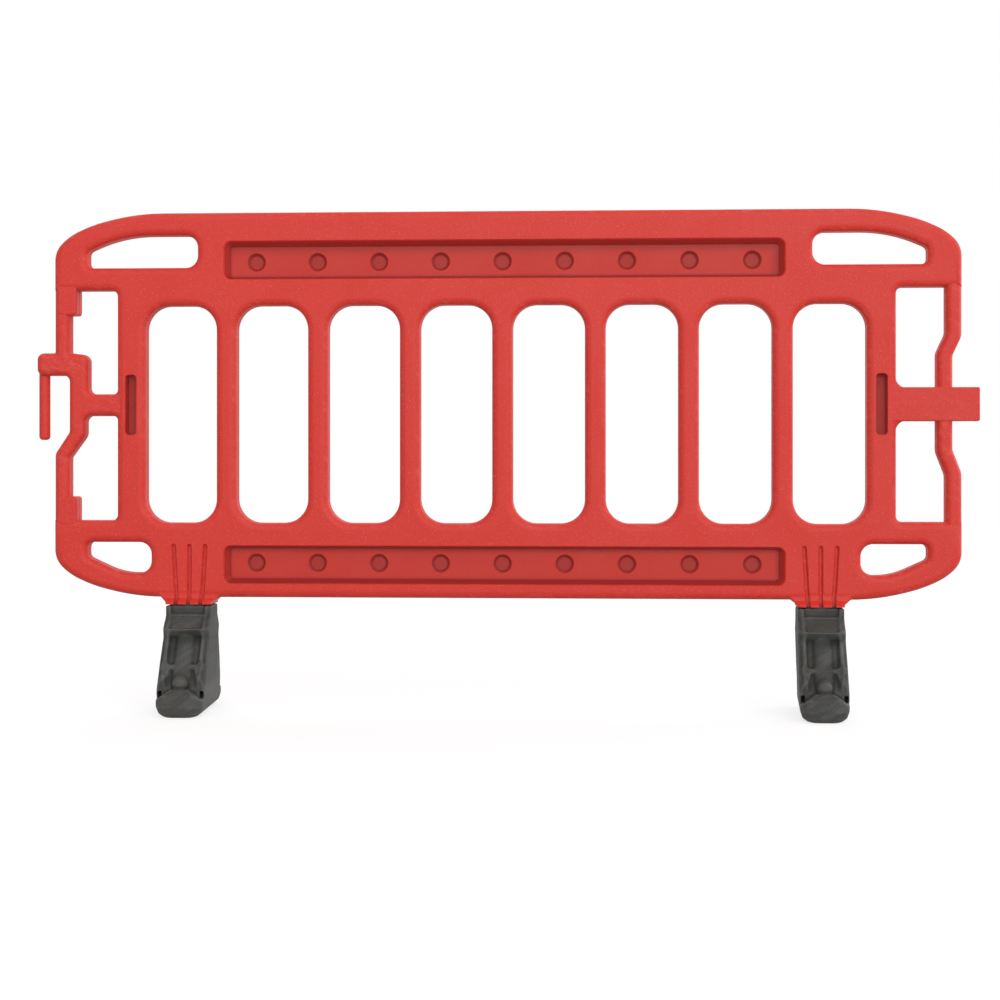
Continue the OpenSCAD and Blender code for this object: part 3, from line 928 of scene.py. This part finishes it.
# %% Eye frame
eye_outer = end_x - 19
eye_inner = end_x - 54.5
eye_post_inner = end_x - 35.5
eye_edge = 15
bow_step = 5
low_bow = (mid_z - 146, mid_z - 97)
high_bow = (mid_z + 103, mid_z + 144)
eye_corners = [
    (end_x, post_foot, 16),
    (end_x, low_bow[0], 34),
    (eye_outer, low_bow[1], 24),
    (eye_outer, high_bow[0], 24),
    (end_x, high_bow[1], 34),
    (end_x, post_top, 16),
    (eye_post_inner, post_top, 16),
    (eye_post_inner, high_bow[1] + bow_step, 24),
    (eye_inner, high_bow[0] + bow_step, 34),
    (eye_inner, low_bow[1] - bow_step, 34),
    (eye_post_inner, low_bow[0] - bow_step, 24),
    (eye_post_inner, post_foot, 16),
]
combine(panel, "UNION", plate("eye_frame", eye_corners, frame_depth, eye_edge))

eye_half = 36.5
eye_round = 3
eye_block = rectangle(stile_x - 12, panel_high.x - 3, mid_z - eye_half, mid_z + eye_half, eye_round + 1)
combine(panel, "UNION", plate("eye_block", eye_block, frame_depth + 3, eye_round))

gusset_half = eye_half - 1
gusset_end = stile_x + 40
gusset_root = root_half + 28
gusset_fillet = 23
gusset = [
    (root_x, mid_z - gusset_root, 15),
    (stile_x, mid_z - gusset_root, 15),
    (stile_x, mid_z - gusset_half, gusset_fillet),
    (gusset_end, mid_z - gusset_half, 15),
]
gusset += upside_down(gusset)
combine(panel, "UNION", plate("eye_gusset", gusset, frame_depth, frame_edge))

eye_bore_radius = 13.5
eye_x = end_x + 15
eye_bore = cylinder("eye_bore", eye_x, eye_bore_radius, mid_z - 2 * eye_half, mid_z + 2 * eye_half)
combine(panel, "DIFFERENCE", eye_bore)
print("with eye frame:", len(panel.data.polygons), "faces")

# %% [markdown]
# ## Grooves in the stiles
# Beside the hook and the eye, a short deep groove in each stile joins the walls where the link pulls.

# %% Stile grooves
groove_depth = 22
groove_corner = 8
groove_lean = 3
for x in (-groove_x, groove_x):
    corners = rectangle(
        x - groove_width / 2, x + groove_width / 2,
        mid_z - groove_length / 2, mid_z + groove_length / 2, groove_corner,
    )
    on_both_sides(panel, recess("stile_groove", corners, groove_depth, groove_lean, rim=1.5, foot=2.0))
print("with stile grooves:", len(panel.data.polygons), "faces")

# %% [markdown]
# ## Necks
# Over each foot the panel swells into a neck with a lip that covers the joint. It could be a box with a
# bevel, but rings follow the lip's round edge and the run up into the body.

# %% Necks
neck_width = 100
neck_depth = 84
neck_corner = 8
# A ring of the neck is its rise, and how much wider and deeper than the lip it is.
neck_rings = (
    (0.0, 0.0, 0.0),
    (1.5, 0.6, 1.0),
    (4.0, 1.5, 1.0),
    (6.0, 3.5, -2.0),
    (13.0, 24.0, -28.5),
    (17.0, 33.0, -29.5),
    (24.0, 46.0, -31.0),
)


def neck(x):
    rings = []
    for rise, wider, deeper in neck_rings:
        half_wide = (neck_width + wider) / 2
        half_deep = (neck_depth + deeper) / 2
        corners = rectangle(x - half_wide, x + half_wide, -half_deep, half_deep, neck_corner)
        rings.append(level(corners, neck_z + rise))
    return loft("neck", rings)


for x in (-foot_x, foot_x):
    combine(panel, "UNION", neck(x))
print("with necks:", len(panel.data.polygons), "faces")

# %% [markdown]
# ## Flutes
# Three flutes run down each face and through the lip, closer together at the bottom, and stiffen the neck.
# A flute is a recess in the face and a notch in the lip. The threaded insert's hole is bored here.

# %% Flutes
flute_half = 5
flute_depth = 7
flute_foot = neck_z - 4
flute_top = bottom_z + 116
flute_top_pitch = 35
flute_lip_pitch = 27
notch_half = 4.6
notch_back = -23
notch_top = bottom_z + 9
insert_radius = 14.05
insert_length = 50


def flute(x, side):
    """One flute on the front face, from its round top end down through the lip."""
    lip_x = x + side * flute_lip_pitch
    top_x = x + side * flute_top_pitch
    corners = [
        (lip_x - flute_half, flute_foot, 1.2),
        (lip_x + flute_half, flute_foot, 1.2),
        (top_x + flute_half, flute_top, flute_half - 0.5),
        (top_x - flute_half, flute_top, flute_half - 0.5),
    ]
    return recess("flute", corners, flute_depth, lean=2.5, rim=0.9, foot=2.5)


def notch(x, side):
    """The part of a flute that cuts the lip in front of the face."""
    lip_x = x + side * flute_lip_pitch
    corners = rectangle(lip_x - notch_half, lip_x + notch_half, -neck_depth, notch_back, 1.0)
    return loft("notch", [level(corners, flute_foot), level(corners, notch_top)])


for x in (-foot_x, foot_x):
    for side in (-1, 0, 1):
        on_both_sides(panel, flute(x, side))
        on_both_sides(panel, notch(x, side))
    pocket = cylinder("insert_pocket", x, insert_radius, neck_z - 2, neck_z + insert_length)
    combine(panel, "DIFFERENCE", pocket)
print("with flutes:", len(panel.data.polygons), "faces")

# %% [markdown]
# ## The finished panel
# The moulding stands in for the frame's own panel: it rides on the same body and gets the red finish.

# %% Finished panel
crease_angle = 32
smooth(panel, crease_angle)
dress(panel, barrier_red)
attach(panel, "panel")
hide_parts("panel")
print("panel triangles:", sum(len(face.vertices) - 2 for face in panel.data.polygons))

# %% [markdown]
# ## Grey recycled plastic
# The feet are pressed from ground-up waste plastic, so they are heavy and never one colour: grey with olive
# patches, and streaks where the mass flowed, made with stretched and bent noise. Ridges are scuffed paler
# and hollows get painted shade, which the relief stored on the mesh tells the finish. Painted shade also
# darkens the flanks, and painted shadow lies on the seat, under the ledge and below the ball.

# %% Foot plastic
foot_grey = (0.074, 0.075, 0.074, 1)
foot_dark = (0.034, 0.035, 0.033, 1)
foot_olive = (0.046, 0.042, 0.030, 1)
foot_shade_black = (0.012, 0.012, 0.011, 1)
foot_scuff = (0.140, 0.140, 0.137, 1)
flow_size = (0.16, 0.16, 0.022)
flow_turn = (0, radians(-32), 0)
# Each edge of a painted shadow is where it starts and where it is full, in millimetres.
middle_edge = (39, 34)
flank_edge = (39, 46)
flank_foot = (60, 72)
seat_foot = (208, 213)
ledge_foot = (146, 158)
ledge_top = (171, 165)
ball_edge = (25, 18)
ball_foot = (57.5, 59.5)
ball_top = (73, 62)


def shade_on_foot(place):
    """How dark the painted shade is on the flanks, and the painted shadow on the seat, under the ledge and at
    the foot of the ball.
    """
    aside, _, rise = from_planes(place)
    from_pivot = abs(aside - foot_x * MM)
    middle = fade(from_pivot, *middle_edge)
    flank = fade(from_pivot, *flank_edge) * fade(rise, *flank_foot)
    seat = middle * fade(rise, *seat_foot)
    ledge = middle * fade(rise, *ledge_foot) * fade(rise, *ledge_top)
    ball = fade(from_pivot, *ball_edge) * fade(rise, *ball_top) * fade(rise, *ball_foot)
    return flank * 0.5 + seat * 0.35 + ledge * 0.5 + ball * 0.6


def foot_plastic(graph):
    place = place_on_piece(graph)
    warp = noise(place, 14, 3.0)
    bent = graph.node("ShaderNodeVectorMath", {0: place, 1: warp * 0.05}, operation="ADD")
    flow = noise(stretched(bent, flow_size, flow_turn), 1.0, 5.0, 0.6)
    patch = between(noise(place, 17, 4.0, 0.6), 0.42, 0.66)
    grain = noise(place, 520, 4.0, 0.65)
    fleck = between(noise(place, 230, 2.0, 0.7), 0.58, 0.72)
    ridge = graph.node("ShaderNodeAttribute", {}, "Fac", attribute_name="relief")
    hollow_shade = between(ridge, 0.47, 0.22)
    worn = between(ridge + (grain - 0.5) * 0.25, 0.56, 0.74)
    colour = blend(between(flow, 0.36, 0.66), foot_dark, foot_grey)
    colour = blend(patch * 0.6, colour, foot_olive)
    colour = blend(fleck * 0.30, colour, foot_scuff)
    # Painted shade in the hollows, from the stored relief.
    colour = blend(hollow_shade * 0.75, colour, foot_shade_black)
    # Painted shade on the flanks and painted shadow on the seat, under the ledge and below the ball.
    colour = blend(shade_on_foot(place), colour, foot_shade_black)
    colour = blend(worn * 0.3, colour, foot_scuff)
    height = flow * 0.6 + grain * 0.4
    return {
        "Base Color": colour,
        "Roughness": 0.62 + flow * 0.16 - worn * 0.12,
        "Normal": bump(height, 0.004, 0.42),
    }


recycled_grey = finish("recycled_grey", foot_plastic)
print("made", recycled_grey.name)

# %% [markdown]
# ## The block of a foot
# A foot is a boot with two toes: a narrow top that carries the panel, a sloping plate, a step, and a long
# slope down to a blunt toe on either side, narrower at the rear. Level rings give the block. What is on its
# front is cut or added once and turned round for the rear.

# %% Foot block
foot_length = foot_high.y - foot_low.y
toe_width = foot_high.x - foot_low.x
# A ring is its height, width, length and corner radius, and the rear's share of the width.
foot_rings = (
    (foot_top, 98, 90, 9, 1.0),
    (foot_top - 22, 98, 90, 9, 1.0),
    (183, 101, 146, 15, 0.95),
    (163, 102, 140, 17, 0.93),
    (110, 105, 204, 19, 0.82),
    (66, toe_width - 1, 256, 22, 0.73),
    (46, toe_width, foot_length - 10, 26, 0.70),
    (23, toe_width - 2, foot_length, 28, 0.69),
    (9, toe_width - 12, foot_length - 4, 28, 0.67),
    (2.5, toe_width - 30, foot_length - 12, 24, 0.64),
    (0, toe_width - 46, foot_length - 22, 18, 0.60),
)
rear_share = 0.74


def foot_block(name):
    rings = []
    for height, width, length, corner, rear in foot_rings:
        half = length / 2
        tail = width / 2 * rear
        outline = rectangle(-width / 2, width / 2, -half, half, corner)
        outline[2:] = [(tail, half, corner * rear), (-tail, half, corner * rear)]
        rings.append(level(outline, height))
    return loft(name, rings)


def across(name, half, corners):
    """A solid with one (y, z) outline all the way across a foot."""
    return loft(name, [[(x, y, z) for y, z in corners] for x in (-half, half)])


foot = foot_block("foot_moulding")
print("foot block", round(toe_width), "by", round(foot_length), "mm")

# %% [markdown]
# ## The front of a foot
# Under the panel's lip a seat lies back between two cheeks, and below it a plate is sunk a little. Both
# have one outline all the way across, given as (y, z).

# %% Foot front
cheek_half = 37
plate_half = 36
seat_hollow = ((-60, 212), (-38.5, 212), (-37.5, 240), (-60, 240))
plate_hollow = ((-43, 206.5), (-68.5, 181), (-80, 190), (-53, 216))
on_both_sides(foot, across("seat_hollow", cheek_half, seat_hollow))
on_both_sides(foot, across("plate_hollow", plate_half, plate_hollow))
print("foot faces:", len(foot.data.polygons))

# %% [markdown]
# ## Pocket, spine and ball
# The slope is hollowed to a pocket with a round spine that ends in a ball, so the wall stays even and the
# foot stiff. A saddle crosses it, and the sides are dented. A hollow is drawn flat, as so far across and so
# far down, and then laid on the slope.

# %% Pocket and spine on the slope
slope_top = Vector((0, -70, 163))
slope_foot = Vector((0, -128, 66))
down = (slope_foot - slope_top).normalized()
out = Vector((0, down.z, -down.y))
pocket_depth = 12
spine_half = 19.5
spine_rise = 11.5
spine_ends = (-10, 100)
ball_middle = Vector((0, -114, 73))
ball_lean = Vector((0, -5, -3))
ball_radius = 17
# A hollow is its name, its outline on the slope, its depth and the lean of its walls.
slope_hollows = (
    ("channel", rectangle(-36, 36, -9, 62, 9), pocket_depth, 5),
    ("saddle", rectangle(-42, 42, 46, 92, 12), 4, 3),
    ("toe_pocket", [(-30, 66, 10), (30, 66, 10), (44, 121, 10), (-44, 121, 10)], 13, 9),
    ("right_flank", rectangle(41.5, 75, 3, 60, 7), 8, 3),
    ("left_flank", rectangle(-75, -41.5, 3, 60, 7), 8, 3),
    ("right_dent", rectangle(40, 75, 70, 90, 7), 7, 4),
    ("left_dent", rectangle(-75, -40, 70, 90, 7), 7, 4),
)


def on_slope(x, along, rise):
    """A point so far across, down and in front of the foot's slope."""
    return Vector((x, 0, 0)) + slope_top + down * along + out * rise


def slope_hollow(name, corners, depth, lean):
    """What is taken out of the slope for a hollow with leaning walls."""
    rings = ((14, 5), (0, 0), (-0.8 * depth, -0.7 * lean), (-depth, -lean))
    return loft(name, [
        [on_slope(point.x, point.y, rise) for point in rounded(corners, grow)] for rise, grow in rings
    ])


def rod(name, start, end, radius):
    """A round bar with ball ends."""
    along = (end - start).normalized()
    side = Vector((1, 0, 0))
    up = along.cross(side)
    bend = [(radius * sin(step * pi / 16), radius * cos(step * pi / 16)) for step in range(8)]
    profile = [(-rise, wide) for rise, wide in reversed(bend)]
    length = (end - start).length
    profile += [(length + rise, wide) for rise, wide in bend]
    return loft(name, [
        [start + along * place + (side * cos(turn) + up * sin(turn)) * wide for turn in full_turn]
        for place, wide in profile
    ])


for name, corners, depth, lean in slope_hollows:
    on_both_sides(foot, slope_hollow(name, corners, depth, lean), rear_share)
spine = loft("spine", [
    [on_slope(spine_half * cos(turn), along, spine_rise * sin(turn) - pocket_depth) for turn in full_turn]
    for along in spine_ends
])
on_both_sides(foot, spine, rear_share, "UNION")
ball = rod("ball", ball_middle, ball_middle + ball_lean, ball_radius)
on_both_sides(foot, ball, rear_share, "UNION")
print("with pocket and spine:", len(foot.data.polygons), "faces")

# %% [markdown]
# ## Toe shield, side hollows and pivot holes
# The toe's upper corners slope away like a shield, with a deep notch at each side. The foot's sides are
# hollowed to save plastic. A wide hole from below lets the bolt in, and a narrow one takes the sleeve.

# %% Toe shield, side hollows and pivot holes
shield = ((20, 58), (60, 31), (60, 96), (20, 96))
shield_back = -117
notch_end = -98
shield_notch = rectangle(41, 49, 40, 55, 2.5)
for side in (-1, 1):
    slope = loft("shield_slope", [[(side * x, y, z) for x, z in shield] for y in (-foot_length, shield_back)])
    on_both_sides(foot, slope, rear_share)
for corners in (shield_notch, mirrored(shield_notch)):
    deep_notch = loft("shield_notch", [upright(corners, 0, y) for y in (-foot_length, notch_end)])
    on_both_sides(foot, deep_notch, rear_share)

side_hollow = ((-40, 164), (40, 164), (60, 122), (-60, 122))
side_middle = 145
side_out = 70
side_in = 47
for side in (-1, 1):
    outer = [(side * side_out, y, z) for y, z in side_hollow]
    inner = [(side * side_in, y * 0.96, (z - side_middle) * 0.9 + side_middle) for y, z in side_hollow]
    combine(foot, "DIFFERENCE", loft("side_hollow", [outer, inner]))

sleeve_hole = 15.05
access_hole = 30
pivot_shoulder = 150
past = 5
combine(foot, "DIFFERENCE", cylinder("access_hole", 0, access_hole, -past, pivot_shoulder))
combine(foot, "DIFFERENCE", cylinder("sleeve_hole", 0, sleeve_hole, pivot_shoulder - past, foot_top + past))
print("foot faces:", len(foot.data.polygons))

# %% [markdown]
# ## Worn edges and the two feet
# Pressed waste plastic has no crisp edge left. Remeshing the block into small even squares and relaxing
# them rounds every edge alike. How far each point stands proud of its neighbours is stored for the finish,
# which paints shade into hollows and wear onto ridges.
# The right foot is the same moulding at the other pivot.

# %% Finished feet
voxel = 2.2 * MM
rounds = 5
relief_reach = 9
relief_gain = 260.0


def even_squares(piece):
    remesh = piece.modifiers.new("even", "REMESH")
    remesh.mode = "VOXEL"
    remesh.voxel_size = voxel
    relax = piece.modifiers.new("relax", "SMOOTH")
    relax.factor = 0.5
    relax.iterations = rounds
    keep_result(piece)


def store_relief(mesh):
    """How far each point stands in front of the average of its neighbourhood, with 0.5 for level."""
    shape = bmesh.new()
    shape.from_mesh(mesh)
    middles = [vertex.co.copy() for vertex in shape.verts]
    for step in range(relief_reach):
        middles = [
            sum((middles[edge.other_vert(vertex).index] for edge in vertex.link_edges), middles[vertex.index])
            / (len(vertex.link_edges) + 1)
            for vertex in shape.verts
        ]
    proud = [(vertex.co - middles[vertex.index]).dot(vertex.normal) for vertex in shape.verts]
    heights = [0.5 + height * relief_gain for height in proud]
    shape.free()
    relief = mesh.attributes.new("relief", "FLOAT", "POINT")
    relief.data.foreach_set("value", heights)
    return min(heights), max(heights)


even_squares(foot)
foot.data.polygons.foreach_set("use_smooth", [True] * len(foot.data.polygons))
print("relief from", [round(height, 2) for height in store_relief(foot.data)])
dress(foot, recycled_grey)
for body, x in (("left_foot", -foot_x), ("right_foot", foot_x)):
    made = new_piece(body + "_moulding", foot.data.copy())
    made.data.transform(Matrix.Translation((x * MM, 0, 0)))
    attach(made, body)
    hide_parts(body)
bpy.data.objects.remove(foot)
print("foot triangles:", 2 * len(made.data.polygons), "box:", [round(side, 3) for side in made.dimensions])

# %% [markdown]
# ## Pivot pieces
# Each foot turns on a steel sleeve. A bolt through it holds the foot up against a slippery washer and
# screws into a brass insert in the neck. The frame's own shapes are right for these, so they only get a
# finish: spangled zinc, turned brass and black nylon.

# %% Finishes of the pivot pieces
zinc_pale = (0.62, 0.63, 0.64, 1)
zinc_dull = (0.40, 0.41, 0.42, 1)
brass_pale = (0.76, 0.58, 0.28, 1)
brass_dull = (0.50, 0.36, 0.15, 1)
nylon_black = (0.030, 0.030, 0.031, 1)
nylon_grey = (0.060, 0.060, 0.061, 1)


def zinc_steel(graph):
    place = place_on_piece(graph)
    spangle = noise(place, 260, 2.0)
    stain = between(noise(place, 60, 4.0), 0.45, 0.7)
    return {
        "Base Color": blend(stain * 0.7, zinc_pale, zinc_dull),
        "Metallic": 1.0 - stain * 0.15,
        "Roughness": 0.30 + spangle * 0.12 + stain * 0.15,
        "Normal": bump(spangle, 0.0004, 0.15),
    }


def turned_brass(graph):
    place = place_on_piece(graph)
    rings = noise(stretched(place, (0.025, 0.025, 0.0006)), 1.0, 2.0)
    stain = between(noise(place, 70, 3.0), 0.4, 0.7)
    return {
        "Base Color": blend(stain * 0.6, brass_pale, brass_dull),
        "Metallic": 1.0 - stain * 0.1,
        "Roughness": 0.28 + rings * 0.15,
        "Normal": bump(rings, 0.0003, 0.2),
    }


def black_nylon(graph):
    place = place_on_piece(graph)
    rub = noise(stretched(place, (0.0033, 0.0033, 0.0167)), 1.0, 3.0)
    return {
        "Base Color": blend(rub, nylon_black, nylon_grey),
        "Roughness": 0.42 + rub * 0.2,
        "Normal": bump(rub, 0.0003, 0.15),
    }


pivot_finishes = {
    "thrust_washer": (finish("black_nylon", black_nylon), "washer_nylon"),
    "pivot_sleeve": (finish("zinc_steel", zinc_steel), "zinc_steel"),
    "threaded_insert": (finish("turned_brass", turned_brass), "insert_brass"),
}
pivot_finishes["pivot_bolt"] = pivot_finishes["head_washer"] = pivot_finishes["pivot_sleeve"]
for name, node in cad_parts.items():
    kind = name.split("_", 1)[-1]
    if kind in pivot_finishes:
        look, slot_name = pivot_finishes[kind]
        dress(node, look)
        print(name, "gets", look.name)

# %% [markdown]
# ## The size of the model
# The box of the dressed model is printed. The dressed model may not outgrow the CAD box.

# %% Sizes
low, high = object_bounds()
print("visual box:", [round(size, 3) for size in high - low])
